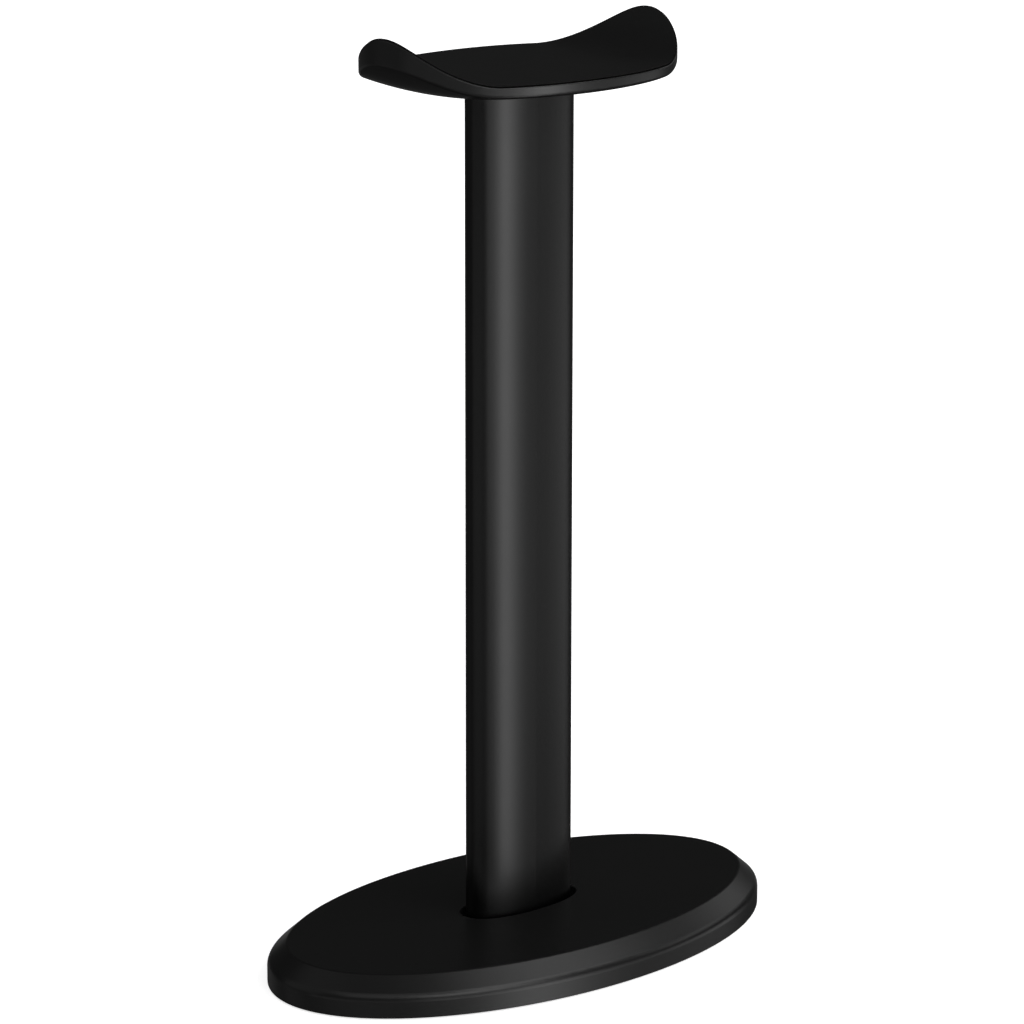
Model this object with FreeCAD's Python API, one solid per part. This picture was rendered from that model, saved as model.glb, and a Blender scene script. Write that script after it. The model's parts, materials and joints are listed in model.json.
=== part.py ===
import FreeCAD, Part
import math
import os

from FreeCAD import Vector

# Headphone stand, in millimetres.
#
# +Z is up and the stand rests on Z = 0. Y runs along the long axis of the oval base
# and X across it. The origin is on the ground, under the middle of the column.
#
# From the ground up: rubber feet, a bottom cover, a steel ballast plate and a moulded
# base shell. An extruded oval tube stands on the ballast through a slot in the shell.
# A moulded saddle with upswept ends is screwed to the top of the tube, and a soft pad
# lies in a recess of the saddle and hides the screws.

os.makedirs("parts", exist_ok=True)

# ---------------------------------------------------------------- base shell
base_half_length = 83.0        # Y
base_half_width = 47.05        # X
base_height = 11.2             # ground to the flat top face
shoulder_height = 6.4          # ground to the corner between wall and bevel
bevel_run = 5.6                # how far the bevel leans in, seen from above
shoulder_round = 3.0
top_edge_round = 0.9
skirt_edge_round = 0.25
base_wall = 2.2
base_rib_thickness = 1.6
ring_rib_inset = 34.0          # from the outside of the base to the oval ring rib
slot_edge_round = 0.4
slot_collar_wall = 1.8
ground_clearance = 0.45        # ground to the lower edge of the base

# ---------------------------------------------------------------- bottom cover
cover_thickness = 2.0
cover_clearance = 0.2          # gap all round the cover, inside the skirt
cover_lip_height = 1.2
cover_lip_thickness = 1.2

# ---------------------------------------------------------------- cover screws and their bosses
cover_boss_count = 6
cover_boss_start = 30.0        # degrees round the oval to the first boss
cover_boss_inset = 11.0        # from the outside of the base to the screw circle
cover_boss_diameter = 7.5
cover_screw_diameter = 2.9
cover_screw_head_diameter = 5.6
cover_screw_head_height = 1.4
cover_screw_length = 6.2
cover_screw_sink = 0.1         # how far the head lies below the cover's face
cover_screw_fit = 0.1          # round the screw and its head, in the cover
cover_pilot_spare = 0.3        # depth of the pilot hole past the screw's tip

# ---------------------------------------------------------------- cross recess of the countersunk screws
recess_length_share = 0.55     # of the head's diameter
recess_width_share = 0.14      # of the head's diameter
recess_depth_share = 0.5       # of the head's height

# ---------------------------------------------------------------- feet
foot_diameter = 16.0
foot_thickness = 1.8
foot_edge_round = 0.5
foot_inset = 16.0              # from the outside of the base to the foot centres
foot_angle = 50.0              # direction of the foot centres, from X towards Y
foot_fit = 0.2                 # gap all round a foot, in its recess

# ---------------------------------------------------------------- ballast
ballast_thickness = 4.0
ballast_end_margin = 14.8      # inside of the base wall to the plate, along Y
ballast_side_margin = 13.7     # inside of the base wall to the plate, along X
ballast_edge_chamfer = 0.4
ballast_pin_diameter = 4.0
ballast_pin_offset = 50.0      # centre of the base to a locating pin, along Y
ballast_pin_fit = 0.2
ballast_pin_short = 0.5        # how far a pin stops short of the plate's lower face
damper_thickness = 0.5         # foam between the cover and the ballast
damper_length = 20.0
damper_width = 8.0
damper_x = 15.0
damper_y = 32.0

# ---------------------------------------------------------------- column
column_half_length = 18.38    # Y
column_half_width = 7.3       # X
column_exponent = 2.25         # 2 is an ellipse, more is squarer
column_wall = 1.8
column_end_chamfer = 0.3
column_slot_gap = 1.48         # all round the tube, in the base shell
port_spacing = 22.0            # between the two screw ports
port_diameter = 8.8
port_bore = 4.3
web_thickness = 1.8            # joins each port to the wall beside it
plug_fit = 0.15                # round a plug, inside the tube
plug_end_gap = 0.5             # between a plug and the screw port beside it
plug_height = 14.0
key_diameter = 8.0             # round key of the foot plug, in the ballast
key_fit = 0.1
plug_core_diameter = 5.0

# ---------------------------------------------------------------- column screws
column_screw_diameter = 4.2
column_screw_hole = 5.3
column_screw_head_diameter = 9.2
column_screw_head_height = 2.6
column_screw_sink = 0.2
column_screw_fit = 0.1         # round the head, in the ballast plate
column_screw_length = 22.0

# ---------------------------------------------------------------- saddle
saddle_half_length = 48.6      # Y
saddle_half_width = 32.7       # X
saddle_exponent = 2.13
saddle_top = 248.25            # ground to the flat middle of the rim
saddle_curl_radius = 21.3      # upswept ends, top side
saddle_curl_angle = 65.5       # slope of the top face at its two ends
saddle_middle_thickness = 6.0
belly_long_radius = 398.0      # underside, along Y, between the curls
belly_cross_radius = 190.0     # underside, across the saddle
belly_curl_radius = 28.9       # underside, below the upswept ends
belly_curl_angle = 49.0        # slope of the underside at its two ends
landing_rise = 0.05            # lowest point of the underside to the end of the tube
rim_lower_round = 1.2
rim_upper_round = 0.3
saddle_floor_wall = 1.7
saddle_core_inset = 5.5        # from the outline to the cored-out cells
saddle_rib_thickness = 1.6
saddle_rib_pitch = 12.0

# ---------------------------------------------------------------- saddle pad
recess_inset = 1.7             # from the outline to the recess
pad_gap = 0.25                 # all round the pad's body, in the recess
pad_depth = 1.4                # depth of the recess
pad_lip_inset = 0.35           # from the outline to the edge of the pad's lip
pad_lip_thickness = 0.45       # the lip lies on the rim and hides the recess
pad_edge_round = 0.34

# ---------------------------------------------------------------- clamp plate and saddle screws
clamp_thickness = 1.5
clamp_width = 11.0
clamp_end = 6.5                # from a screw to the end of the plate
clamp_fit = 0.3
saddle_screw_diameter = 4.2
saddle_screw_hole = 4.6
saddle_screw_head_diameter = 8.6
saddle_screw_head_height = 1.3
saddle_screw_head_room = 0.1   # between the screw's head and the pad
saddle_screw_length = 20.0

# ---------------------------------------------------------------- worked-out heights
cover_top = ground_clearance + cover_thickness
ballast_bottom = cover_top + damper_thickness
ballast_top = ballast_bottom + ballast_thickness
base_ceiling = base_height - base_wall
belly_bottom = saddle_top - saddle_middle_thickness
column_top = belly_bottom + landing_rise
clamp_top = saddle_top - pad_depth - saddle_screw_head_room - saddle_screw_head_height
clamp_floor = clamp_top - clamp_thickness
plug_half_length = port_spacing / 2 - port_diameter / 2 - plug_end_gap

# ---------------------------------------------------------------- worked-out lengths of the saddle
curl_turn = math.radians(saddle_curl_angle)
belly_turn = math.radians(belly_curl_angle)
saddle_flat_half_length = saddle_half_length - saddle_curl_radius * math.sin(curl_turn)

# Directions and small helpers ------------------------------------------------
UP = Vector(0, 0, 1)
Y_AXIS = Vector(0, 1, 0)
OVER = 1.0                     # how far a cutting tool runs past what it cuts
FAR = 30.0                     # how far a trimming block runs past the saddle
NEARLY = 0.05                  # how near two sizes have to be to count as the same
ON_OUTLINE = 0.01              # the same for the sum in a superellipse's formula


def ellipse_wire(half_y, half_x, z):
    """Oval outline with its long axis along Y."""
    ellipse = Part.Ellipse(Vector(0, half_y, z), Vector(half_x, 0, z), Vector(0, 0, z))
    return Part.Wire(ellipse.toShape())


def superellipse_wire(half_y, half_x, exponent, z, steps=40):
    """Outline |x/a|^n + |y/b|^n = 1, as one closed smooth curve."""
    points = []
    for step in range(steps):
        angle = 2 * math.pi * step / steps
        cosine = math.cos(angle)
        sine = math.sin(angle)
        x = math.copysign(half_x * abs(cosine) ** (2 / exponent), cosine)
        y = math.copysign(half_y * abs(sine) ** (2 / exponent), sine)
        points.append(Vector(x, y, z))
    curve = Part.BSplineCurve()
    curve.interpolate(Points=points, PeriodicFlag=True)
    return Part.Wire(curve.toShape())


def prism(wire, height):
    """Solid that rises from a flat closed wire."""
    return Part.Face(wire).extrude(Vector(0, 0, height))


def cylinder(diameter, bottom, top, x=0.0, y=0.0):
    return Part.makeCylinder(diameter / 2, top - bottom, Vector(x, y, bottom), UP)


def block(size_x, size_y, bottom, top, x=0.0, y=0.0):
    """Upright box whose middle is at x, y."""
    corner = Vector(x - size_x / 2, y - size_y / 2, bottom)
    return Part.makeBox(size_x, size_y, top - bottom, corner)


def join(shapes):
    """One clean solid from touching or overlapping shapes."""
    return shapes[0].fuse(shapes[1:]).removeSplitter()


def edges_at(shape, z, half_x, half_y):
    """Closed outer edges that lie flat at a height, out at the given extent."""
    found = []
    for edge in shape.Edges:
        box = edge.BoundBox
        flat = abs(box.ZMin - z) < NEARLY and abs(box.ZMax - z) < NEARLY
        wide = abs(box.XMax - half_x) < NEARLY and abs(box.YMax - half_y) < NEARLY
        if flat and wide:
            found.append(edge)
    return found


def mirrored_pairs(x, y):
    """The four points at plus and minus x and y."""
    return [(x, -y), (-x, -y), (x, y), (-x, y)]


def save(name, shape):
    shape.exportStep("parts/" + name + ".step")
    print(name, "solids", len(shape.Solids), "valid", shape.isValid(), "volume", round(shape.Volume, 1))


# ---------------------------------------------------------------- places that several pieces share
def cover_boss_places():
    """Screw places on an oval that follows the outside of the base."""
    places = []
    for index in range(cover_boss_count):
        angle = math.radians(cover_boss_start + 360 * index / cover_boss_count)
        x = (base_half_width - cover_boss_inset) * math.cos(angle)
        y = (base_half_length - cover_boss_inset) * math.sin(angle)
        places.append((x, y))
    return places


def foot_places():
    """Front right, front left, rear right, rear left."""
    angle = math.radians(foot_angle)
    x = (base_half_width - foot_inset) * math.cos(angle)
    y = (base_half_length - foot_inset) * math.sin(angle)
    return mirrored_pairs(x, y)


def port_places():
    return [(0.0, -port_spacing / 2), (0.0, port_spacing / 2)]


# ---------------------------------------------------------------- base
def base_outside():
    """Oval block with an upright wall, a rounded shoulder and a wide bevel."""
    foot = ellipse_wire(base_half_length, base_half_width, ground_clearance)
    shoulder = ellipse_wire(base_half_length, base_half_width, shoulder_height)
    top = ellipse_wire(base_half_length - bevel_run, base_half_width - bevel_run, base_height)
    body = Part.makeLoft([foot, shoulder, top], True, True)
    shoulder_edges = edges_at(body, shoulder_height, base_half_width, base_half_length)
    body = body.makeFillet(shoulder_round, shoulder_edges)
    top_edges = edges_at(body, base_height, base_half_width - bevel_run, base_half_length - bevel_run)
    body = body.makeFillet(top_edge_round, top_edges)
    foot_edges = edges_at(body, ground_clearance, base_half_width, base_half_length)
    return body.makeFillet(skirt_edge_round, foot_edges)


def base_inside():
    """Room inside the base: the outside moved in by the wall, open below."""
    bevel_rise = base_height - shoulder_height
    bevel_length = math.hypot(bevel_run, bevel_rise)
    start_inset = base_wall * bevel_rise / bevel_length
    start_height = shoulder_height - base_wall * bevel_run / bevel_length
    corner_height = start_height + (base_wall - start_inset) * bevel_rise / bevel_run
    ceiling_inset = start_inset + (base_ceiling - start_height) * bevel_run / bevel_rise
    bottom = ground_clearance - OVER
    rings = []
    for inset, height in ((base_wall, bottom), (base_wall, corner_height), (ceiling_inset, base_ceiling)):
        rings.append(ellipse_wire(base_half_length - inset, base_half_width - inset, height))
    return Part.makeLoft(rings, True, True)


def column_outline(growth, z):
    """The tube's outline, moved out all round by the growth."""
    return superellipse_wire(column_half_length + growth, column_half_width + growth, column_exponent, z)


def base_shell():
    room = base_inside()
    shell = base_outside().cut(room)

    # Ribs under the top face bear on the ballast plate.
    rib_height = base_ceiling - ballast_top
    ribs = []
    ribs.append(block(base_rib_thickness, 2 * base_half_length, ballast_top, base_ceiling))
    ribs.append(block(2 * base_half_width, base_rib_thickness, ballast_top, base_ceiling))
    for side in (-1, 1):
        offset = side * ballast_pin_offset / 2
        ribs.append(block(2 * base_half_width, base_rib_thickness, ballast_top, base_ceiling, 0, offset))
    ring_y = base_half_length - ring_rib_inset
    ring_x = base_half_width - ring_rib_inset * base_half_width / base_half_length
    ring = prism(ellipse_wire(ring_y, ring_x, ballast_top), rib_height)
    hollow = ellipse_wire(ring_y - base_rib_thickness, ring_x - base_rib_thickness, ballast_top)
    ribs.append(ring.cut(prism(hollow, rib_height)))

    # A collar round the slot, the screw bosses and two pins that locate the ballast.
    collar = prism(column_outline(column_slot_gap + slot_collar_wall, ballast_top), rib_height)
    ribs.append(collar)
    for x, y in cover_boss_places():
        ribs.append(cylinder(cover_boss_diameter, cover_top, base_ceiling, x, y))
    for side in (-1, 1):
        y = side * ballast_pin_offset
        pin_bottom = ballast_bottom + ballast_pin_short
        ribs.append(cylinder(ballast_pin_diameter, pin_bottom, base_ceiling, 0, y))
    inner = join(ribs).common(room)
    shell = join([shell, inner])

    # The slot, and the pilot holes for the cover screws.
    slot = prism(column_outline(column_slot_gap, ballast_top - OVER), base_height - ballast_top + 2 * OVER)
    shell = shell.cut(slot)
    slot_x = column_half_width + column_slot_gap
    slot_y = column_half_length + column_slot_gap
    shell = shell.makeFillet(slot_edge_round, edges_at(shell, base_height, slot_x, slot_y))
    hole_top = ground_clearance + cover_screw_sink + cover_screw_length + cover_pilot_spare
    holes = []
    for x, y in cover_boss_places():
        holes.append(cylinder(cover_screw_diameter, cover_top - OVER, hole_top, x, y))
    return shell.cut(holes)


def bottom_cover():
    inset = base_wall + cover_clearance
    half_y = base_half_length - inset
    half_x = base_half_width - inset
    cover = prism(ellipse_wire(half_y, half_x, ground_clearance), cover_thickness)

    # An upright lip centres the cover in the skirt.
    lip = prism(ellipse_wire(half_y, half_x, cover_top), cover_lip_height)
    lip_room = ellipse_wire(half_y - cover_lip_thickness, half_x - cover_lip_thickness, cover_top)
    cover = join([cover, lip.cut(prism(lip_room, cover_lip_height))])

    tools = []
    for x, y in foot_places():
        tools.append(cylinder(foot_diameter + 2 * foot_fit, ground_clearance - OVER, foot_thickness, x, y))
    for x, y in cover_boss_places():
        tools += screw_space(x, y)
    return cover.cut(tools)


def screw_space(x, y):
    """Tools that cut a countersunk hole in the cover, open downwards."""
    head_bottom = ground_clearance + cover_screw_sink
    head_hole = cover_screw_head_diameter + 2 * cover_screw_fit
    hole = cover_screw_diameter + 2 * cover_screw_fit
    cone_place = Vector(x, y, head_bottom)
    return [Part.makeCone(head_hole / 2, hole / 2, cover_screw_head_height, cone_place, UP),
            cylinder(head_hole, ground_clearance - OVER, head_bottom, x, y),
            cylinder(hole, head_bottom, cover_top + OVER, x, y)]


def countersunk_screw(x, y, bottom, head_diameter, head_height, diameter, length):
    """Screw that points up, with a cross recess in the head."""
    head = Part.makeCone(head_diameter / 2, diameter / 2, head_height, Vector(x, y, bottom), UP)
    tip_bottom = bottom + length - diameter / 2
    shank = cylinder(diameter, bottom, tip_bottom, x, y)
    tip = Part.makeCone(diameter / 2, diameter / 4, diameter / 2, Vector(x, y, tip_bottom), UP)
    recess_length = recess_length_share * head_diameter
    recess_width = recess_width_share * head_diameter
    recess_top = bottom + recess_depth_share * head_height
    cross = [block(recess_length, recess_width, bottom - OVER, recess_top, x, y),
             block(recess_width, recess_length, bottom - OVER, recess_top, x, y)]
    return join([head, shank, tip]).cut(cross)


def cover_screws():
    screws = []
    for x, y in cover_boss_places():
        bottom = ground_clearance + cover_screw_sink
        screws.append(countersunk_screw(x, y, bottom, cover_screw_head_diameter, cover_screw_head_height,
                                        cover_screw_diameter, cover_screw_length))
    return Part.makeCompound(screws)


def foot(x, y):
    """Round rubber foot with a softened lower edge."""
    body = cylinder(foot_diameter, 0.0, foot_thickness, x, y)
    lower_edges = [edge for edge in body.Edges if edge.BoundBox.ZMax < NEARLY]
    return body.makeFillet(foot_edge_round, lower_edges)


# ---------------------------------------------------------------- ballast
def ballast_plate():
    half_y = base_half_length - base_wall - ballast_end_margin
    half_x = base_half_width - base_wall - ballast_side_margin
    plate = prism(ellipse_wire(half_y, half_x, ballast_bottom), ballast_thickness)
    flat_edges = [edge for edge in plate.Edges if edge.BoundBox.ZLength < NEARLY]
    plate = plate.makeChamfer(ballast_edge_chamfer, flat_edges)

    low = ballast_bottom - OVER
    high = ballast_top + OVER
    holes = [cylinder(key_diameter + 2 * key_fit, low, high)]
    for y in (-ballast_pin_offset, ballast_pin_offset):
        holes.append(cylinder(ballast_pin_diameter + 2 * ballast_pin_fit, low, high, 0, y))
    head_bottom = ballast_bottom + column_screw_sink
    head_hole = column_screw_head_diameter + 2 * column_screw_fit
    shank_hole = column_screw_diameter + 2 * column_screw_fit
    for x, y in port_places():
        holes.append(cylinder(head_hole, low, head_bottom, x, y))
        holes.append(Part.makeCone(head_hole / 2, shank_hole / 2, column_screw_head_height,
                                   Vector(x, y, head_bottom), UP))
        holes.append(cylinder(column_screw_hole, low, high, x, y))
    return plate.cut(holes)


def damper_pads():
    pads = []
    for x, y in mirrored_pairs(damper_x, damper_y):
        pads.append(block(damper_width, damper_length, cover_top, ballast_bottom, x, y))
    return Part.makeCompound(pads)


# ---------------------------------------------------------------- column
def column_room(growth, bottom, top):
    """The inside of the tube between two heights, moved in by a fit."""
    return prism(column_outline(-column_wall - growth, bottom), top - bottom)


def column_tube():
    outside = prism(column_outline(0, ballast_top), column_top - ballast_top)
    for z in (ballast_top, column_top):
        end_edges = edges_at(outside, z, column_half_width, column_half_length)
        outside = outside.makeChamfer(column_end_chamfer, end_edges)
    room = column_room(0, ballast_top - OVER, column_top + OVER)
    ports = []
    bores = []
    for x, y in port_places():
        ports.append(cylinder(port_diameter, ballast_top, column_top, x, y))
        ports.append(block(2 * column_half_width, web_thickness, ballast_top, column_top, x, y))
        bores.append(cylinder(port_bore, ballast_top - OVER, column_top + OVER, x, y))
    inner = [port.common(room) for port in ports]
    return join([outside.cut(room)] + inner).cut(bores)


def plug(bottom, top):
    """Block that fits the tube between its two screw ports."""
    return column_room(plug_fit, bottom, top).common(
        block(2 * column_half_width, 2 * plug_half_length, bottom, top))


def column_foot_plug():
    body = plug(ballast_top, ballast_top + plug_height)
    key = cylinder(key_diameter, ballast_bottom, ballast_top)
    core = cylinder(plug_core_diameter, ballast_bottom - OVER, ballast_top + plug_height - column_wall)
    return join([body, key]).cut(core)


def column_screws():
    screws = []
    for x, y in port_places():
        bottom = ballast_bottom + column_screw_sink
        screws.append(countersunk_screw(x, y, bottom, column_screw_head_diameter, column_screw_head_height,
                                        column_screw_diameter, column_screw_length))
    return Part.makeCompound(screws)


# ---------------------------------------------------------------- saddle
# The side view of the saddle lies in the YZ plane: flat in the middle, then an arc
# that sweeps up at each end. The underside has a shallow belly along and across.

def arc(centre_y, centre_z, radius, start, end):
    """Arc in the YZ plane. Angles are from straight down, positive towards +Y."""
    ends = []
    for angle in (start, (start + end) / 2, end):
        y = centre_y + radius * math.sin(angle)
        z = centre_z - radius * math.cos(angle)
        ends.append(Vector(0, y, z))
    return Part.Arc(ends[0], ends[1], ends[2]).toShape()


def line(y_start, z_start, y_end, z_end):
    return Part.makeLine(Vector(0, y_start, z_start), Vector(0, y_end, z_end))


def run_out(centre_y, centre_z, radius, turn):
    """Straight stretch that goes on from the end of an arc, well past the saddle."""
    y = centre_y + radius * math.sin(turn)
    z = centre_z - radius * math.cos(turn)
    length = 4 * OVER
    return y, z, y + length * math.cos(turn), z + length * math.sin(turn)


def side_view(middle_edge, centre_y, centre_z, radius, lean, turn):
    """Open curve from one end of the saddle to the other: run-out, curl, middle and back."""
    y_tip, z_tip, y_end, z_end = run_out(centre_y, centre_z, radius, turn)
    return [line(-y_end, z_end, -y_tip, z_tip), arc(-centre_y, centre_z, radius, -turn, -lean), middle_edge,
            arc(centre_y, centre_z, radius, lean, turn), line(y_tip, z_tip, y_end, z_end)]


def sheet_edges(offset):
    """Side view of the top face, moved up by the offset."""
    z = saddle_top + offset
    flat = saddle_flat_half_length
    middle = line(-flat, z, flat, z)
    centre_z = saddle_top + saddle_curl_radius
    return side_view(middle, flat, centre_z, saddle_curl_radius - offset, 0, curl_turn)


def belly_edges(offset):
    """Side view of the underside at X = 0, moved up by the offset."""
    lean = math.asin(saddle_flat_half_length / belly_long_radius)
    long_centre_z = belly_bottom + belly_long_radius
    curl_centre_y = (belly_long_radius - belly_curl_radius) * math.sin(lean)
    curl_centre_z = long_centre_z - (belly_long_radius - belly_curl_radius) * math.cos(lean)
    middle = arc(0, long_centre_z, belly_long_radius - offset, -lean, lean)
    return side_view(middle, curl_centre_y, curl_centre_z, belly_curl_radius - offset, lean, belly_turn)


def closed_profile(edges, z_far):
    """Face between a side view curve and a level line far above or below it."""
    start = edges[0].firstVertex().Point
    end = edges[-1].lastVertex().Point
    loop = list(edges)
    loop.append(line(end.y, end.z, end.y, z_far))
    loop.append(line(end.y, z_far, start.y, z_far))
    loop.append(line(start.y, z_far, start.y, start.z))
    return Part.Face(Part.Wire(loop))


def across(face):
    """Sweep a side view straight across the saddle."""
    width = 2 * (saddle_half_width + OVER)
    moved = face.copy()
    moved.translate(Vector(-width / 2, 0, 0))
    return moved.extrude(Vector(width, 0, 0))


def below_sheet(offset):
    return across(closed_profile(sheet_edges(offset), saddle_top - FAR))


def above_sheet(offset):
    return across(closed_profile(sheet_edges(offset), saddle_top + FAR))


def above_belly(offset):
    """Everything over the underside: its side view turned about a far axis along Y."""
    face = closed_profile(belly_edges(offset), saddle_top + FAR)
    axis_z = belly_bottom + belly_cross_radius
    half_turn = math.degrees(math.asin((saddle_half_width + 2 * OVER) / (belly_cross_radius - 2 * FAR)))
    turned = face.copy()
    turned.rotate(Vector(0, 0, axis_z), Y_AXIS, -half_turn)
    return turned.revolve(Vector(0, 0, axis_z), Y_AXIS, 2 * half_turn)


def saddle_prism(inset):
    """Upright block on the saddle's outline, moved in by the inset."""
    outline = superellipse_wire(saddle_half_length - inset, saddle_half_width - inset, saddle_exponent,
                                saddle_top - FAR)
    return prism(outline, 2 * FAR)


def rim_edges(shape, upper):
    """Edges where the upright wall of the rim meets the top face or the underside."""
    found = []
    for edge in shape.Edges:
        middle = edge.valueAt((edge.FirstParameter + edge.LastParameter) / 2)
        upright = edge.BoundBox.XLength < NEARLY and edge.BoundBox.YLength < NEARLY
        reach = abs(middle.x / saddle_half_width) ** saddle_exponent
        reach += abs(middle.y / saddle_half_length) ** saddle_exponent
        at_top = abs(middle.z - sheet_height(middle.y)) < NEARLY
        if abs(reach - 1) < ON_OUTLINE and not upright and at_top == upper:
            found.append(edge)
    return found


def sheet_height(y):
    """Height of the top face at a place along the saddle."""
    run = max(0.0, min(abs(y), saddle_half_length) - saddle_flat_half_length)
    return saddle_top + saddle_curl_radius - math.sqrt(saddle_curl_radius ** 2 - run ** 2)


def saddle_blank():
    """The saddle's outside, before its recess and cells are cut."""
    body = saddle_prism(0).common(below_sheet(0)).common(above_belly(0))
    body = body.makeFillet(rim_lower_round, rim_edges(body, False))
    return body.makeFillet(rim_upper_round, rim_edges(body, True))


def saddle_cells():
    """Cored-out cells under the pad, between crossed ribs."""
    cells = saddle_prism(saddle_core_inset).common(below_sheet(-pad_depth))
    cells = cells.common(above_belly(saddle_floor_wall))
    high = saddle_top + FAR
    count = int(saddle_half_length / saddle_rib_pitch)
    ribs = [prism(column_outline(saddle_rib_thickness, belly_bottom), 2 * FAR)]
    for index in range(-count, count + 1):
        y = index * saddle_rib_pitch
        ribs.append(block(2 * saddle_half_width, saddle_rib_thickness, belly_bottom, high, 0, y))
    for side in (-1, 0, 1):
        x = side * saddle_rib_pitch
        ribs.append(block(saddle_rib_thickness, 2 * saddle_half_length, belly_bottom, high, x, 0))
    return cells.cut(ribs)


def clamp_outline(growth, bottom, top):
    """Strip with round ends that reaches past both screws."""
    width = clamp_width + 2 * growth
    middle = block(width, port_spacing + 2 * (clamp_end - clamp_width / 2), bottom, top)
    ends = []
    for x, y in port_places():
        end_y = y + math.copysign(clamp_end - clamp_width / 2, y)
        ends.append(cylinder(width, bottom, top, x, end_y))
    return join([middle] + ends)


def saddle_shell():
    # A flat landing for the end of the tube, and a spigot that goes down inside it.
    landing = prism(column_outline(0, column_top), clamp_floor - column_top)
    spigot = plug(column_top - plug_height, column_top + OVER)
    body = join([saddle_blank(), landing, spigot])

    # The pad's recess, the cells below it, a pocket for the clamp plate and the screw holes.
    tools = [saddle_prism(recess_inset).common(above_sheet(-pad_depth))]
    tools += saddle_cells().Solids
    tools.append(clamp_outline(clamp_fit, clamp_floor, saddle_top))
    for x, y in port_places():
        tools.append(cylinder(saddle_screw_hole, column_top - OVER, saddle_top, x, y))
    return body.cut(tools)


def saddle_pad():
    """Soft pad: a body in the recess, and a thin lip that covers the rim."""
    lip = saddle_prism(pad_lip_inset).common(below_sheet(pad_lip_thickness)).common(above_sheet(0))
    body = saddle_prism(recess_inset + pad_gap).common(below_sheet(pad_lip_thickness / 2))
    pad = join([lip, body.common(above_sheet(-pad_depth))])
    return pad.makeFillet(pad_edge_round, lip_edges(pad))


def lip_edges(pad):
    """Upper edges of the lip, all round."""
    found = []
    for edge in pad.Edges:
        middle = edge.valueAt((edge.FirstParameter + edge.LastParameter) / 2)
        reach = abs(middle.x / (saddle_half_width - pad_lip_inset)) ** saddle_exponent
        reach += abs(middle.y / (saddle_half_length - pad_lip_inset)) ** saddle_exponent
        if abs(reach - 1) < ON_OUTLINE and middle.z > sheet_height(middle.y) + pad_lip_thickness / 2:
            found.append(edge)
    return found


def saddle_clamp_plate():
    plate = clamp_outline(0, clamp_floor, clamp_top)
    return plate.cut([cylinder(saddle_screw_hole, clamp_floor - OVER, clamp_top + OVER, x, y)
                      for x, y in port_places()])


def saddle_screws():
    screws = []
    for x, y in port_places():
        head = cylinder(saddle_screw_head_diameter, clamp_top, clamp_top + saddle_screw_head_height, x, y)
        shank = cylinder(saddle_screw_diameter, clamp_top - saddle_screw_length, clamp_top, x, y)
        screws.append(join([head, shank]))
    return Part.makeCompound(screws)


# ---------------------------------------------------------------- write every piece
save("base_shell", base_shell())
save("bottom_cover", bottom_cover())
save("cover_screws", cover_screws())
foot_names = ("foot_front_right", "foot_front_left", "foot_rear_right", "foot_rear_left")
for foot_name, (foot_x, foot_y) in zip(foot_names, foot_places()):
    save(foot_name, foot(foot_x, foot_y))
save("ballast_plate", ballast_plate())
save("damper_pads", damper_pads())
save("column_tube", column_tube())
save("column_foot_plug", column_foot_plug())
save("column_screws", column_screws())
save("saddle_shell", saddle_shell())
save("saddle_pad", saddle_pad())
save("saddle_clamp_plate", saddle_clamp_plate())
save("saddle_screws", saddle_screws())
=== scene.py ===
# %% [markdown]
# # A headphone stand in black plastic and black aluminium
#
# This lesson dresses a stand that was made in CAD: an oval weighted base, an extruded
# oval column and a saddle whose two ends sweep up, with a soft pad laid into it.
# The CAD model is loaded as a fixed frame, so its shapes and sizes stay as they are.
# What is left for Blender is the soft parts, the surface of every part and the light. The
# light is most of the work on a black product, because nearly all that the eye sees of it
# is reflection.

# %% Load the frame
import json
import math

import bpy
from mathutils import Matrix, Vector


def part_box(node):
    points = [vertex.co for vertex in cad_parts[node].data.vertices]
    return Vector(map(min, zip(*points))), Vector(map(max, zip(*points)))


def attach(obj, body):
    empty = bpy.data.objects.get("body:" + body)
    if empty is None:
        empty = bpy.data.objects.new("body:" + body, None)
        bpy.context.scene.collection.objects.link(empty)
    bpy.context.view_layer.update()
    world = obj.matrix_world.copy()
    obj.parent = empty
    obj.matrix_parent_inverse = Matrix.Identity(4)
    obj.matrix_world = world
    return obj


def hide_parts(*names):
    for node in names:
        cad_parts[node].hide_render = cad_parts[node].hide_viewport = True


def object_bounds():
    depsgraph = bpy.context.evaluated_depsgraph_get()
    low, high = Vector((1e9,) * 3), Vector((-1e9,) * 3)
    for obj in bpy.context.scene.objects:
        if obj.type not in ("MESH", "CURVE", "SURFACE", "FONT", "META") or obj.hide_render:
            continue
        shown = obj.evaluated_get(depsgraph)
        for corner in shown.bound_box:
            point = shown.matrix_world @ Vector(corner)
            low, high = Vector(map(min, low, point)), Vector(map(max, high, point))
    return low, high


MILLIMETRE = 0.001
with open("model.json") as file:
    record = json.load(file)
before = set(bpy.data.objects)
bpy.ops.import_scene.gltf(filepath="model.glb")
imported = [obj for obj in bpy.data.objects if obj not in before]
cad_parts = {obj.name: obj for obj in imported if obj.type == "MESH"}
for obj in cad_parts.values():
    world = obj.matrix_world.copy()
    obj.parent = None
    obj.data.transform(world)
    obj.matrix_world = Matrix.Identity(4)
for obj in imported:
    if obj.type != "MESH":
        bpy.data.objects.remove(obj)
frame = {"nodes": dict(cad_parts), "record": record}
cad_low, cad_high = [Vector(corner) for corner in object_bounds()]
cad_size = cad_high - cad_low
nodes = frame["nodes"]
print("Stand, width, length and height in mm:", [round(1000 * side, 1) for side in cad_size])
print("Nodes:", sorted(nodes))

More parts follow.
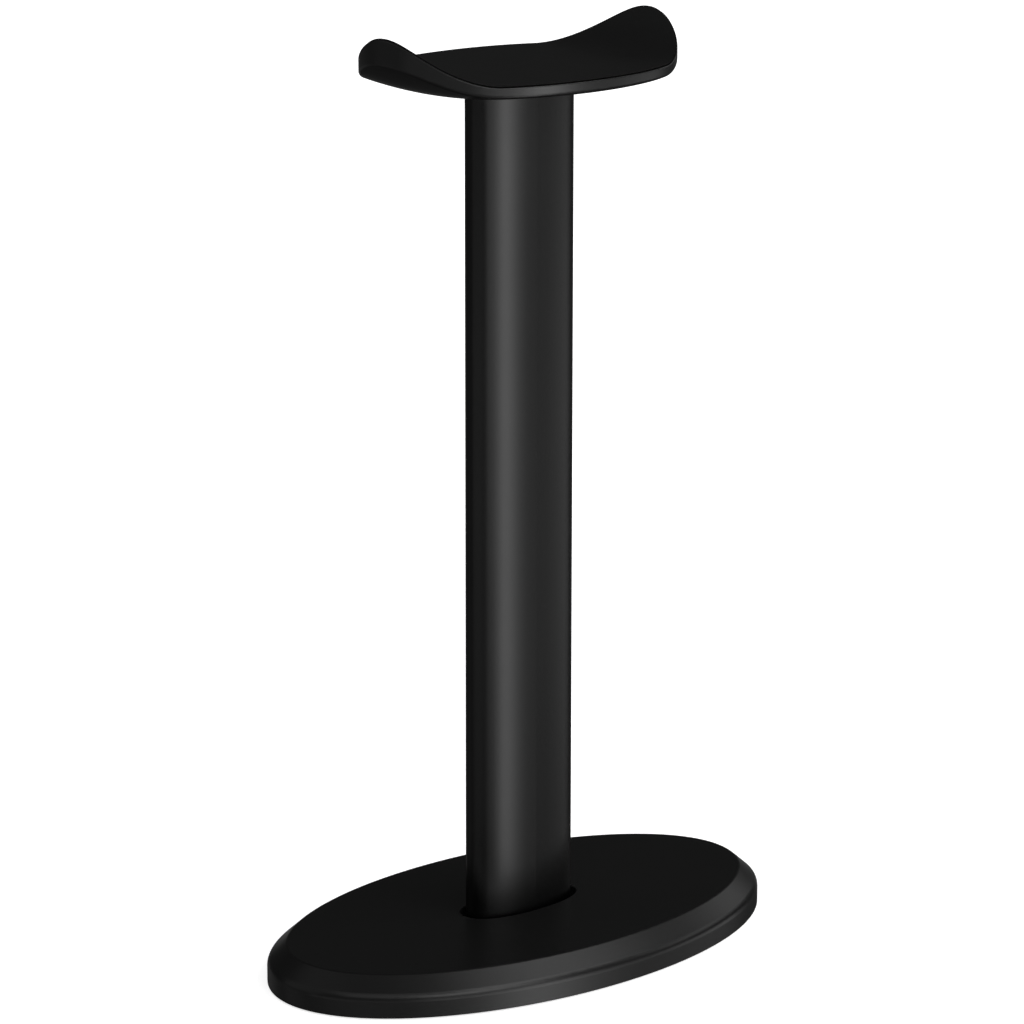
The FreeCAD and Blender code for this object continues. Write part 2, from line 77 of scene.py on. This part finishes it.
# %% [markdown]
# ## The camera
#
# The stand is seen from a little above, past one end of its base. A long lens far away keeps
# the column's sides nearly parallel, which is usual for a tall product. The camera could be
# placed by typing in coordinates. Here it is placed by its direction and distance from a
# point inside the column, so the same few numbers turn it, raise it or bring it nearer.

# %% Place the camera
camera_azimuth = math.radians(47.88)     # from the end of the base towards its side
camera_elevation = math.radians(14.22)
camera_roll = math.radians(0.053)
camera_distance = 1.2393                 # metres
camera_lens = 157.9                      # millimetres, on a sensor 36 mm wide
aim_height = 0.12429                     # metres above the ground
aim_aside = -0.00197                     # metres to the camera's right


def direction(azimuth, elevation):
    """A step of one metre away from the stand."""
    level = math.cos(elevation)
    return Vector((math.sin(azimuth) * level, -math.cos(azimuth) * level, math.sin(elevation)))


def look_back(thing, away, roll=0.0):
    """Turns a camera or a lamp so that it faces against a direction."""
    thing.rotation_euler = away.to_track_quat("Z", "Y").to_euler()
    thing.rotation_euler.rotate_axis("Z", roll)


camera = bpy.data.objects.new("camera", bpy.data.cameras.new("camera"))
camera.data.lens = camera_lens
camera.data.clip_start = 0.05
camera.data.clip_end = 60.0
to_the_right = Vector((math.cos(camera_azimuth), math.sin(camera_azimuth), 0.0))
aim = Vector((0.0, 0.0, aim_height)) + aim_aside * to_the_right
to_camera = direction(camera_azimuth, camera_elevation)
camera.location = aim + camera_distance * to_camera
look_back(camera, to_camera, camera_roll)
bpy.context.scene.collection.objects.link(camera)
bpy.context.scene.camera = camera
bpy.context.scene.view_settings.view_transform = "Standard"
print("Camera at", [round(value, 3) for value in camera.location])

# %% [markdown]
# ## The pad
#
# The pad is one soft silicone moulding. Its body fills a recess in the saddle, and a thin
# lip runs out over the rim and stops just short of the edge. The lip is undercut, so a fine
# shadow line runs all round between the pad and the saddle. The CAD solid could be kept,
# but its sides are upright and have no undercut. So the pad is lofted here from closed
# rings of points. Each ring is drawn on the flat, as if the saddle were unrolled, and is
# then bent onto the saddle's curve. That keeps the lip equally thick on the level and on
# the upswept ends.

# %% The saddle's curve, flat and bent
saddle_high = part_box("saddle_shell")[1]
half_width, half_length = saddle_high.x, saddle_high.y
mounts = {mount["name"]: mount for mount in frame["record"]["mounts"]}
lip_thickness = 0.45 * MILLIMETRE
rim_height = mounts["headband_seat"]["pos_m"][2] - lip_thickness
curl_radius = 21.3 * MILLIMETRE
curl_angle = math.radians(65.5)           # slope of the rim at its two ends
level_half_length = half_length - curl_radius * math.sin(curl_angle)


def unroll(y):
    """How far along the saddle's curve a point is, measured from the middle."""
    past = max(0.0, abs(y) - level_half_length)
    along = min(abs(y), level_half_length) + curl_radius * math.asin(past / curl_radius)
    return math.copysign(along, y)


def bend(x, along, height):
    """Puts a point of the unrolled saddle on its curve, at a height above the rim."""
    turn = max(0.0, abs(along) - level_half_length) / curl_radius
    radius = curl_radius - height
    y = min(abs(along), level_half_length) + radius * math.sin(turn)
    return (x, math.copysign(y, along), rim_height + curl_radius - radius * math.cos(turn))


print("Saddle's half width, half length and rim height in mm:",
      [round(1000 * value, 2) for value in (half_width, half_length, rim_height)])

# %% The pad's outline, on the flat
lip_inset = 0.4 * MILLIMETRE              # from the saddle's outline to the lip's edge
outline_exponent = 2.13                   # 2 is an ellipse, more is squarer
ring_points = 288
outline = []
for step in range(ring_points):
    angle = 2 * math.pi * step / ring_points
    cosine, sine = math.cos(angle), math.sin(angle)
    x = math.copysign((half_width - lip_inset) * abs(cosine) ** (2 / outline_exponent), cosine)
    y = math.copysign((half_length - lip_inset) * abs(sine) ** (2 / outline_exponent), sine)
    outline.append(Vector((x, unroll(y))))
inward = []
for step in range(ring_points):
    along_edge = outline[(step + 1) % ring_points] - outline[step - 1]
    inward.append(Vector((-along_edge.y, along_edge.x)).normalized())
print("The lip's outline has", len(outline), "points")

# %% The pad's cross-section, from the middle of its face round to the middle of its back
edge_round = 0.03 * MILLIMETRE            # the lip's upper edge is trimmed crisply
undercut = [(0.3 * MILLIMETRE, 0.1 * MILLIMETRE), (0.75 * MILLIMETRE, 0.02 * MILLIMETRE)]
body_inset = 1.6 * MILLIMETRE             # from the lip's edge to the body in the recess
body_taper = 1.3 * MILLIMETRE
body_depth = 1.39 * MILLIMETRE
core_inset = 3.2 * MILLIMETRE             # further in, rings are scaled and not moved
core_rings = 16
towards_edge = (1.0, 0.56, 0.28, 0.12)    # shares of the core's inset, closer at the edge
shrinking = [(core_inset, step / core_rings) for step in range(1, core_rings)]
section = [(inset, lip_thickness, scale) for inset, scale in shrinking]
section += [(core_inset * share, lip_thickness, 1.0) for share in towards_edge]
for angle in (90, 45, 0):
    turn = math.radians(angle)
    section.append((edge_round * (1 - math.cos(turn)),
                    lip_thickness - edge_round * (1 - math.sin(turn)), 1.0))
section += [(inset, height, 1.0) for inset, height in undercut]
section += [(body_inset, undercut[-1][1], 1.0), (body_inset + body_taper, -body_depth, 1.0)]
section += [(inset, -body_depth, scale) for inset, scale in reversed(shrinking)]
print("The pad's cross-section has", len(section), "points")


# %% Loft the pad
crease_angle = math.radians(40)           # faces that meet more sharply are shaded apart


def loft(name, rings, first_tip, last_tip):
    """A closed mesh through rings of points, ended by one point at each side."""
    count = len(rings[0])
    points = [first_tip] + [point for ring in rings for point in ring] + [last_tip]
    faces = [(0, 1 + step, 1 + (step + 1) % count) for step in range(count)]
    for ring in range(len(rings) - 1):
        start = 1 + ring * count
        for step in range(count):
            after = (step + 1) % count
            faces.append((start + step, start + count + step,
                          start + count + after, start + after))
    last = len(points) - 1
    start = last - count
    faces += [(last, start + (step + 1) % count, start + step) for step in range(count)]
    mesh = bpy.data.meshes.new(name)
    mesh.from_pydata(points, [], faces)
    mesh.shade_smooth()
    mesh.set_sharp_from_angle(angle=crease_angle)
    piece = bpy.data.objects.new(name, mesh)
    bpy.context.scene.collection.objects.link(piece)
    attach(piece, "root")
    print(name, "has", len(mesh.polygons), "faces")
    return piece


pad_rings = []
for inset, height, scale in section:
    flat_ring = [scale * (corner + inset * way) for corner, way in zip(outline, inward)]
    pad_rings.append([bend(flat.x, flat.y, height) for flat in flat_ring])
pad = loft("saddle_pad_moulding", pad_rings, bend(0, 0, lip_thickness), bend(0, 0, -body_depth))
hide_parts("saddle_pad")

# %% [markdown]
# ## The feet
#
# Four silicone discs stand in shallow recesses of the bottom cover. Their lower faces have
# ring-shaped grooves, which let the rubber give and grip a smooth desk. A plain disc with a
# bump pattern would do from afar, but grooves a millimetre wide catch real shadows, so the
# foot's half profile is turned about its axis, as on a lathe.

# %% A foot's half profile, as radius and height in millimetres
foot_radius = 8.0
foot_thickness = 1.8
foot_lower_round = 0.5
foot_upper_chamfer = 0.12
groove_starts = (1.8, 4.7)                # radius at which each groove begins
groove = [(0.0, 0.0), (0.3, 0.08), (0.5, 0.3), (1.3, 0.3), (1.5, 0.08), (1.8, 0.0)]
foot_profile = [(start + out, height) for start in groove_starts for out, height in groove]
for angle in (0, 22.5, 45, 67.5, 90):
    turn = math.radians(angle)
    foot_profile.append((foot_radius - foot_lower_round * (1 - math.sin(turn)),
                         foot_lower_round * (1 - math.cos(turn))))
foot_profile += [(foot_radius, foot_thickness - foot_upper_chamfer),
                 (foot_radius - foot_upper_chamfer, foot_thickness),
                 (foot_radius / 2, foot_thickness)]
print("A foot's half profile has", len(foot_profile), "points")

# %% Turn the feet
turns = 72
foot_nodes = [name for name in nodes if name.startswith("foot_")]
feet = []
for name in foot_nodes:
    low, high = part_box(name)
    middle = (low + high) / 2
    rings = []
    for radius, height in foot_profile:
        ring = [(middle.x + radius * MILLIMETRE * math.cos(2 * math.pi * turn / turns),
                 middle.y - radius * MILLIMETRE * math.sin(2 * math.pi * turn / turns),
                 low.z + height * MILLIMETRE) for turn in range(turns)]
        rings.append(ring)
    foot = loft("grip_" + name, rings, (middle.x, middle.y, low.z), (middle.x, middle.y, high.z))
    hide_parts(name)
    feet.append(foot)

# %% [markdown]
# ## Helpers for materials
#
# Blender's shader sockets take linear colour, and people read colours as sRGB hex codes, so
# one function turns one into the other. A second one adds any node, with its settings and
# its links, and a socket is called by its name, or by its number where several share one
# name. Sizes of patterns are given in millimetres and turned into the scale of a noise
# texture, whose cells are about one over the scale in size.

# %% Colour, node and scale helpers
COLOUR_A, COLOUR_B, COLOUR_OUT = 6, 7, 2     # the colour sockets of a Mix node


def linear(hex_code):
    """An sRGB hex colour as the linear RGBA that shaders use."""
    channels = [int(hex_code[place:place + 2], 16) / 255 for place in (1, 3, 5)]
    lit = [c / 12.92 if c <= 0.04045 else ((c + 0.055) / 1.055) ** 2.4 for c in channels]
    return (*lit, 1.0)


def add_node(tree, kind, settings=None, inputs=None, links=None):
    """Adds a node, sets its properties and inputs, and links outputs of other nodes to it."""
    node = tree.nodes.new(kind)
    for name, value in (settings or {}).items():
        setattr(node, name, value)
    for socket, value in (inputs or {}).items():
        node.inputs[socket].default_value = value
    for socket, output in (links or {}).items():
        tree.links.new(output, node.inputs[socket])
    return node


def per_millimetre(size):
    """Scale of a texture in metres whose grains are this many millimetres wide."""
    return 1000.0 / size


print("Mid grey in linear light:", round(linear("#808080")[0], 3))


# %% Helpers for a new material and for putting it on
def new_material(name):
    """An empty material. Returns it, its node tree, and each point's place on the stand."""
    material = bpy.data.materials.new(name)
    material.use_nodes = True
    tree = material.node_tree
    tree.nodes.clear()
    return material, tree, add_node(tree, "ShaderNodeTexCoord").outputs["Object"]


def dress(things, material):
    """Gives pieces a material, in every slot they have. A new piece gets its first slot."""
    for thing in things:
        if not thing.material_slots:
            thing.data.materials.append(None)
        for slot in thing.material_slots:
            slot.material = material
    print(material.name, "on", ", ".join(thing.name for thing in things))


# %% [markdown]
# ## Moulded ABS
#
# The base shell, its cover and the saddle are injection-moulded ABS, coloured black in the
# mass. The steel mould is spark-eroded, which leaves a fine pebbled skin on the plastic.
# That skin is what makes the shine soft: it spreads each reflection without scattering it
# fully, and its pits swallow some of it, so the specular level is under the usual 0.5. It
# could be one flat black with a roughness, but real mouldings aren't that even. So there
# are two layers of noise. Wide patches change the black and the shine a little, where hands
# have held it, and small pebbles tilt the surface. The real pebbles are a tenth of a
# millimetre wide, too fine to show, and are drawn three times as coarse. Under the base
# the mould is eroded deeper, so the pebbles there are larger.

# %% Spark-eroded black ABS
patch_width = 34.0                        # millimetres, as wide as two fingers
noise_low, noise_high = 0.3, 0.7          # a noise texture mostly keeps between these
uneven = 0.02                             # how far roughness strays to each side


def spark_eroded(name, colour, rubbed_colour, specular, roughness, pebble, depth):
    """Moulded ABS. Pebble and depth are in millimetres."""
    material, tree, place = new_material(name)
    patches = add_node(tree, "ShaderNodeTexNoise", inputs={
        "Scale": per_millimetre(patch_width), "Detail": 3.0, "Roughness": 0.55},
        links={"Vector": place})
    tint = add_node(tree, "ShaderNodeMix", {"data_type": "RGBA", "name": "tint"}, inputs={
        COLOUR_A: linear(colour), COLOUR_B: linear(rubbed_colour)},
        links={"Factor": patches.outputs["Fac"]})
    shine = add_node(tree, "ShaderNodeMapRange", {"name": "shine"}, inputs={
        "From Min": noise_low, "From Max": noise_high,
        "To Min": roughness - uneven, "To Max": roughness + uneven},
        links={"Value": patches.outputs["Fac"]})
    pebbles = add_node(tree, "ShaderNodeTexNoise", inputs={
        "Scale": per_millimetre(pebble), "Detail": 2.0, "Roughness": 0.6},
        links={"Vector": place})
    bump = add_node(tree, "ShaderNodeBump", inputs={
        "Strength": 0.2, "Distance": depth * MILLIMETRE},
        links={"Height": pebbles.outputs["Fac"]})
    shader = add_node(tree, "ShaderNodeBsdfPrincipled", {"name": "shader"}, inputs={
        "IOR": 1.53, "Specular IOR Level": specular}, links={
        "Base Color": tint.outputs[COLOUR_OUT], "Roughness": shine.outputs["Result"],
        "Normal": bump.outputs["Normal"]})
    add_node(tree, "ShaderNodeOutputMaterial", links={"Surface": shader.outputs["BSDF"]})
    return material


base_abs = spark_eroded("abs_spark_eroded_black", "#0B0B0B", "#101010", 0.26, 0.35, 0.35, 0.008)
saddle_abs = spark_eroded("abs_satin_black", "#0B0B0B", "#0F0F0F", 0.31, 0.35, 0.28, 0.005)
cover_abs = spark_eroded("abs_underside_black", "#101010", "#161616", 0.31, 0.5, 0.5, 0.02)
dress([nodes["base_shell"]], base_abs)
dress([nodes["saddle_shell"]], saddle_abs)
dress([nodes["bottom_cover"]], cover_abs)

# %% [markdown]
# The base is picked up by its shoulder, the corner between the upright wall and the bevel.
# Fingers polish that corner, and on a satin black body it then draws a crisp thin line. The
# wear could be painted from the sharpness of the edge, but this corner runs round at one
# height, so a narrow band of height does the same and stays even.

# %% Polish the base's shoulder
shoulder_height = 6.4 * MILLIMETRE
polish_width = 1.1 * MILLIMETRE
polish = 0.8                              # share of the roughness that is left on the corner
tree = base_abs.node_tree
place = add_node(tree, "ShaderNodeTexCoord").outputs["Object"]
height = add_node(tree, "ShaderNodeSeparateXYZ", links={"Vector": place})
off_corner = add_node(tree, "ShaderNodeMath", {"operation": "SUBTRACT"},
                      inputs={1: shoulder_height}, links={0: height.outputs["Z"]})
distance = add_node(tree, "ShaderNodeMath", {"operation": "ABSOLUTE"},
                    links={0: off_corner.outputs["Value"]})
unpolished = add_node(tree, "ShaderNodeMapRange", {"interpolation_type": "SMOOTHSTEP"}, inputs={
    "From Max": polish_width, "To Min": polish}, links={"Value": distance.outputs["Value"]})
polished = add_node(tree, "ShaderNodeMath", {"operation": "MULTIPLY"}, links={
    0: unpolished.outputs["Result"], 1: tree.nodes["shine"].outputs["Result"]})
tree.links.new(polished.outputs["Value"], tree.nodes["shader"].inputs["Roughness"])
band = [round(1000 * (shoulder_height + side * polish_width), 1) for side in (-1, 1)]
print("Polished band, from and to in mm:", band)

# %% [markdown]
# The slot that the column stands in keeps a torn, dull wall where the moulding was trimmed,
# and hardly any light gets into it. Its surface could be a material of its own, but the
# shell is one piece of plastic. So the same material turns rougher wherever it is inside
# the slot's oval, which is the column's oval and a small gap round it. There its colour is
# also painted near black, as painted shade for the dark recess. The mask is an ellipse and
# the slot is a little squarer, so the mask ends a few percent further out.

# %% Dull the slot and paint shade into it
slot_gap = 1.48 * MILLIMETRE
mask_from, mask_to = 1.04, 1.07           # shares of the ellipse's half size
torn_roughness = 0.9
column_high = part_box("column_tube")[1]
slot_half = (column_high.x + slot_gap, column_high.y + slot_gap)
oval = add_node(tree, "ShaderNodeMapping", inputs={
    "Scale": (1 / slot_half[0], 1 / slot_half[1], 0.0)}, links={"Vector": place})
out_of_middle = add_node(tree, "ShaderNodeVectorMath", {"operation": "LENGTH"},
                         links={"Vector": oval.outputs["Vector"]})
in_slot = add_node(tree, "ShaderNodeMapRange", {"interpolation_type": "SMOOTHSTEP"}, inputs={
    "From Min": mask_from, "From Max": mask_to, "To Min": 1.0, "To Max": 0.0},
    links={"Value": out_of_middle.outputs["Value"]})
torn = add_node(tree, "ShaderNodeMapRange", inputs={"To Max": torn_roughness}, links={
    "Value": in_slot.outputs["Result"], "To Min": polished.outputs["Value"]})
# Inside the slot the colour is painted near black: painted shade in the recess, not the
# plastic's own colour.
painted_slot_shade = add_node(tree, "ShaderNodeMix", {"data_type": "RGBA"}, inputs={
    COLOUR_B: linear("#020202")}, links={
    "Factor": in_slot.outputs["Result"], COLOUR_A: tree.nodes["tint"].outputs[COLOUR_OUT]})
tree.links.new(torn.outputs["Result"], tree.nodes["shader"].inputs["Roughness"])
tree.links.new(painted_slot_shade.outputs[COLOUR_OUT], tree.nodes["shader"].inputs["Base Color"])
print("Slot, half width and half length in mm:", [round(1000 * side, 2) for side in slot_half])

# %% [markdown]
# ## Anodised aluminium
#
# The column is an aluminium extrusion, blasted and then anodised black. The die leaves hair
# lines along the tube. Blasting rounds them off, and the dyed oxide on top swallows most of
# the light that bare metal would send back. It could be a black plastic with a strong
# shine, but then its highlights would be too pale at the edges. So it is a metal with a
# very dark colour, and the hair lines are a noise that is stretched along the column. Real
# ones are a few hundredths of a millimetre apart and are drawn ten times as wide, so that
# they show. The pits from blasting are drawn a few times as wide as they are.

# %% Black anodised aluminium
dye_width = 26.0                          # widths and depths are in millimetres
hair_line_width = 0.4
hair_line_stretch = 250.0                 # how many times as long as wide
pit_width = 0.25
relief_depth = 0.004
aluminium, tree, place = new_material("aluminium_black_anodised")
dye = add_node(tree, "ShaderNodeTexNoise", inputs={
    "Scale": per_millimetre(dye_width), "Detail": 2.0}, links={"Vector": place})
tint = add_node(tree, "ShaderNodeMix", {"data_type": "RGBA"}, inputs={
    COLOUR_A: linear("#2B2B2B"), COLOUR_B: linear("#2E2E2E")},
    links={"Factor": dye.outputs["Fac"]})
drawn_out = add_node(tree, "ShaderNodeMapping", inputs={
    "Scale": (1.0, 1.0, 1 / hair_line_stretch)}, links={"Vector": place})
hair_lines = add_node(tree, "ShaderNodeTexNoise", inputs={
    "Scale": per_millimetre(hair_line_width), "Detail": 3.0},
    links={"Vector": drawn_out.outputs["Vector"]})
blasted = add_node(tree, "ShaderNodeTexNoise", inputs={
    "Scale": per_millimetre(pit_width), "Detail": 2.0}, links={"Vector": place})
relief = add_node(tree, "ShaderNodeMath", {"operation": "ADD"}, links={
    0: hair_lines.outputs["Fac"], 1: blasted.outputs["Fac"]})
bump = add_node(tree, "ShaderNodeBump", inputs={
    "Strength": 0.15, "Distance": relief_depth * MILLIMETRE},
    links={"Height": relief.outputs["Value"]})
shader = add_node(tree, "ShaderNodeBsdfPrincipled", inputs={
    "Metallic": 1.0, "Roughness": 0.34}, links={
    "Base Color": tint.outputs[COLOUR_OUT], "Normal": bump.outputs["Normal"]})
add_node(tree, "ShaderNodeOutputMaterial", links={"Surface": shader.outputs["BSDF"]})
dress([nodes["column_tube"]], aluminium)

# %% [markdown]
# ## Silicone rubber
#
# The pad and the feet are moulded silicone. It is soft and a little tacky, so it has almost
# no shine and gathers a breath of dust, which makes it greyer here and there. The dust
# could be real specks, but at this size only its greying is seen, so it is a noise in the
# colour. The skin copies a blasted mould whose grain is a tenth of a millimetre, and is
# drawn a few times as coarse. The nylon plug and the foam strips inside the stand are dull
# and uneven in the same way, and the foam has cells of nearly a millimetre.

# %% Moulded rubber
dust_width = 9.0                          # millimetres, for a drift of dust


def moulded_rubber(name, colour, dusty_colour, roughness, grain, depth):
    """Silicone, or another dull soft moulding. Grain and depth are in millimetres."""
    material, tree, place = new_material(name)
    dust = add_node(tree, "ShaderNodeTexNoise", inputs={
        "Scale": per_millimetre(dust_width), "Detail": 6.0, "Roughness": 0.7},
        links={"Vector": place})
    tint = add_node(tree, "ShaderNodeMix", {"data_type": "RGBA"}, inputs={
        COLOUR_A: linear(colour), COLOUR_B: linear(dusty_colour)},
        links={"Factor": dust.outputs["Fac"]})
    skin = add_node(tree, "ShaderNodeTexNoise", inputs={
        "Scale": per_millimetre(grain), "Detail": 2.0}, links={"Vector": place})
    bump = add_node(tree, "ShaderNodeBump", inputs={
        "Strength": 0.3, "Distance": depth * MILLIMETRE}, links={"Height": skin.outputs["Fac"]})
    shader = add_node(tree, "ShaderNodeBsdfPrincipled", inputs={
        "IOR": 1.41, "Specular IOR Level": 0.3, "Roughness": roughness}, links={
        "Base Color": tint.outputs[COLOUR_OUT], "Normal": bump.outputs["Normal"]})
    add_node(tree, "ShaderNodeOutputMaterial", links={"Surface": shader.outputs["BSDF"]})
    return material


pad_silicone = moulded_rubber("silicone_matt_black", "#101010", "#141414", 0.5, 0.4, 0.01)
foot_silicone = moulded_rubber("silicone_foot_black", "#161616", "#202020", 0.6, 0.6, 0.03)
nylon = moulded_rubber("nylon_moulded_black", "#1A1A1A", "#242424", 0.45, 0.3, 0.01)
foam = moulded_rubber("foam_closed_cell", "#1C1C1C", "#2A2A2A", 0.9, 0.8, 0.2)
dress([pad, nodes["saddle_pad"]], pad_silicone)
dress(feet + [nodes[name] for name in foot_nodes], foot_silicone)
dress([nodes["column_foot_plug"]], nylon)
dress([nodes["damper_pads"]], foam)

# %% [markdown]
# ## Zinc-plated steel
#
# The weight and the clamp plate are zinc-plated sheet steel, and the screws are steel with
# a black zinc plating. Zinc grows on steel in small crystals, which give both platings a
# faintly cloudy shine about a millimetre and a half across. A plain grey metal would look
# like chrome here, so the clouds are a noise in the colour, and the crystals a relief of
# cells, drawn a few times as coarse as they are.

# %% Bright and black zinc
cloud_width = 1.5                         # widths and depths are in millimetres
crystal_width = 0.3
crystal_depth = 0.01


def plated_steel(name, colour, cloudy_colour, roughness):
    """Steel with an even plating of fine crystals."""
    material, tree, place = new_material(name)
    clouds = add_node(tree, "ShaderNodeTexNoise", inputs={
        "Scale": per_millimetre(cloud_width), "Detail": 4.0}, links={"Vector": place})
    tint = add_node(tree, "ShaderNodeMix", {"data_type": "RGBA"}, inputs={
        COLOUR_A: linear(colour), COLOUR_B: linear(cloudy_colour)},
        links={"Factor": clouds.outputs["Fac"]})
    crystals = add_node(tree, "ShaderNodeTexVoronoi", inputs={
        "Scale": per_millimetre(crystal_width)}, links={"Vector": place})
    bump = add_node(tree, "ShaderNodeBump", inputs={
        "Strength": 0.1, "Distance": crystal_depth * MILLIMETRE},
        links={"Height": crystals.outputs["Distance"]})
    shader = add_node(tree, "ShaderNodeBsdfPrincipled", inputs={
        "Metallic": 1.0, "Roughness": roughness}, links={
        "Base Color": tint.outputs[COLOUR_OUT], "Normal": bump.outputs["Normal"]})
    add_node(tree, "ShaderNodeOutputMaterial", links={"Surface": shader.outputs["BSDF"]})
    return material


bright_zinc = plated_steel("steel_zinc_plated", "#A9ADB2", "#C3C6CA", 0.34)
black_zinc = plated_steel("steel_black_zinc", "#3A3A3C", "#474749", 0.34)
dress([nodes["ballast_plate"], nodes["saddle_clamp_plate"]], bright_zinc)
dress([nodes["cover_screws"], nodes["saddle_screws"], nodes["column_screws"]], black_zinc)

# %% [markdown]
# ## Light
#
# A black satin body is drawn by what it reflects, so the studio is built from the
# reflections backwards. One tall box stands to the right and reaches from below the table's
# edge to just over the stand's middle. It paints the long highlight down the column. Boxes
# beside it and behind, at the height of the table, give the column its dim bands and light
# the base's wall. Boxes overhead light the bevel and the rim of the saddle. Dim boxes on
# the left, at the back and below keep the stand's other sides from going wholly black. Each
# box is placed by the direction that it shines from, because that decides where its
# reflection falls. They stand well back, so that a reflection keeps its place along the
# whole column.

# %% Lamps
lamp_distance = 2.6                       # metres from the middle of the stand
lamp_target = Vector((0.0, 0.0, 0.13))    # halfway up the stand


def soft_box(name, azimuth, elevation, width, height, brightness):
    """A lamp with an even face, in metres, that only reflections show.

    Its direction is in degrees. At a brightness of 1 a mirror would show it plain white.
    """
    lamp = bpy.data.objects.new(name, bpy.data.lights.new(name, "AREA"))
    lamp.data.shape = "RECTANGLE"
    lamp.data.size = width
    lamp.data.size_y = height
    lamp.data.energy = brightness * math.pi * width * height
    away = direction(math.radians(azimuth), math.radians(elevation))
    lamp.location = lamp_target + lamp_distance * away
    look_back(lamp, away)
    lamp.visible_camera = False
    bpy.context.scene.collection.objects.link(lamp)
    print(name, round(lamp.data.energy, 1), "W")


soft_box("tall_box_right", 105, -24, 0.75, 3.25, 3.35)
soft_box("low_box_right", 109, -10, 1.51, 1.06, 1.20)
soft_box("low_box_front_right", 87, -8, 2.29, 0.68, 2.20)
soft_box("low_box_front", 17, -13, 3.52, 0.45, 1.02)
soft_box("low_box_behind", 154, -12, 1.74, 0.78, 1.10)
soft_box("box_behind", 168, 22, 2.73, 0.68, 1.06)
soft_box("box_above_right", 88, 29, 1.85, 1.15, 3.16)
soft_box("box_overhead", 123, 52, 1.93, 0.92, 4.10)
soft_box("box_above_front", 39, 42, 2.35, 1.84, 0.82)
soft_box("dim_box_left", -33, 33, 2.73, 3.38, 0.27)
soft_box("dim_box_below_front", 57, -42, 2.6, 1.1, 0.36)
soft_box("dim_box_below_left", -40, -30, 1.5, 1.5, 0.12)
soft_box("dim_box_front_left", -45, -14, 1.6, 0.9, 0.13)
soft_box("dim_box_side_left", -90, -16, 1.6, 0.8, 0.08)
soft_box("dim_box_back_left", -135, -12, 2.0, 0.6, 0.20)

# %% [markdown]
# ## Backdrop
#
# The stand is shown on white. A white wall could stand behind it, but from this low angle
# the flat top of the base mirrors whatever is behind, and would turn grey. So the world is
# white for the camera alone, which Light Path's Is Camera Ray picks out. What mirrors or
# shows through sees it dimmed, as if black cloths hung round the stand, and what only takes
# light from it is lit softly from all round.

# %% World
white_level = 1.0                         # for the camera
cloth_level = 0.037                       # in reflections and through clear things
soft_light_level = 0.3                    # as plain light on a dull surface
world = bpy.data.worlds.new("studio")
bpy.context.scene.world = world
world.use_nodes = True
tree = world.node_tree
tree.nodes.clear()
path = add_node(tree, "ShaderNodeLightPath")
mirrored = add_node(tree, "ShaderNodeMath", {"operation": "MAXIMUM"}, links={
    0: path.outputs["Is Glossy Ray"], 1: path.outputs["Is Transmission Ray"]})
unseen = add_node(tree, "ShaderNodeMapRange", inputs={
    "To Min": soft_light_level, "To Max": cloth_level},
    links={"Value": mirrored.outputs["Value"]})
level = add_node(tree, "ShaderNodeMapRange", inputs={"To Max": white_level}, links={
    "Value": path.outputs["Is Camera Ray"], "To Min": unseen.outputs["Result"]})
backdrop = add_node(tree, "ShaderNodeBackground", inputs={"Color": linear("#FFFFFF")},
                    links={"Strength": level.outputs["Result"]})
add_node(tree, "ShaderNodeOutputWorld", links={"Surface": backdrop.outputs["Background"]})
print("World for the camera, reflections and soft light:",
      white_level, cloth_level, soft_light_level)

# %% [markdown]
# ## Floor
#
# The stand is on matt white paper. A plain sheet would show the edge of the light on it, so
# the paper gives a little light of its own, which grows outwards to plain white and leaves
# only the stand's soft shadow round its foot. Like the backdrop it is there for the camera
# alone, and the low boxes shine through it from below. It has no underside either, so the
# feet and the cover can be looked at from below.

# %% Lay the floor
floor_half_size = 12.0                    # metres
floor_mesh = bpy.data.meshes.new("floor")
sides = [(-1, -1), (1, -1), (1, 1), (-1, 1)]
corners = [(floor_half_size * x, floor_half_size * y, cad_low.z) for x, y in sides]
floor_mesh.from_pydata(corners, [], [(0, 1, 2, 3)])
floor = bpy.data.objects.new("floor", floor_mesh)
bpy.context.scene.collection.objects.link(floor)
print("Floor at", round(1000 * cad_low.z, 2), "mm")

# %% Matt white paper
glow_from, glow_to = 0.09, 0.5            # metres from the middle of the stand
glow_at_foot = 0.72                       # share of plain white, next to the base
paper, tree, place = new_material("paper_matt_white")
path = add_node(tree, "ShaderNodeLightPath")
far_off = add_node(tree, "ShaderNodeVectorMath", {"operation": "LENGTH"},
                   links={"Vector": place})
glow = add_node(tree, "ShaderNodeMapRange", {"interpolation_type": "SMOOTHSTEP"}, inputs={
    "From Min": glow_from, "From Max": glow_to, "To Min": glow_at_foot, "To Max": 1.0},
    links={"Value": far_off.outputs["Value"]})
lit = add_node(tree, "ShaderNodeBsdfDiffuse", inputs={"Color": linear("#DCDCDC")})
shining = add_node(tree, "ShaderNodeEmission", links={"Strength": glow.outputs["Result"]})
sheet_of_paper = add_node(tree, "ShaderNodeAddShader", links={
    0: lit.outputs["BSDF"], 1: shining.outputs["Emission"]})
clear = add_node(tree, "ShaderNodeBsdfTransparent")
side = add_node(tree, "ShaderNodeNewGeometry")
from_above = add_node(tree, "ShaderNodeMath", {"operation": "GREATER_THAN"}, links={
    0: path.outputs["Is Camera Ray"], 1: side.outputs["Backfacing"]})
seen = add_node(tree, "ShaderNodeMixShader", links={
    "Fac": from_above.outputs["Value"], 1: clear.outputs["BSDF"],
    2: sheet_of_paper.outputs["Shader"]})
add_node(tree, "ShaderNodeOutputMaterial", links={"Surface": seen.outputs["Shader"]})
dress([floor], paper)
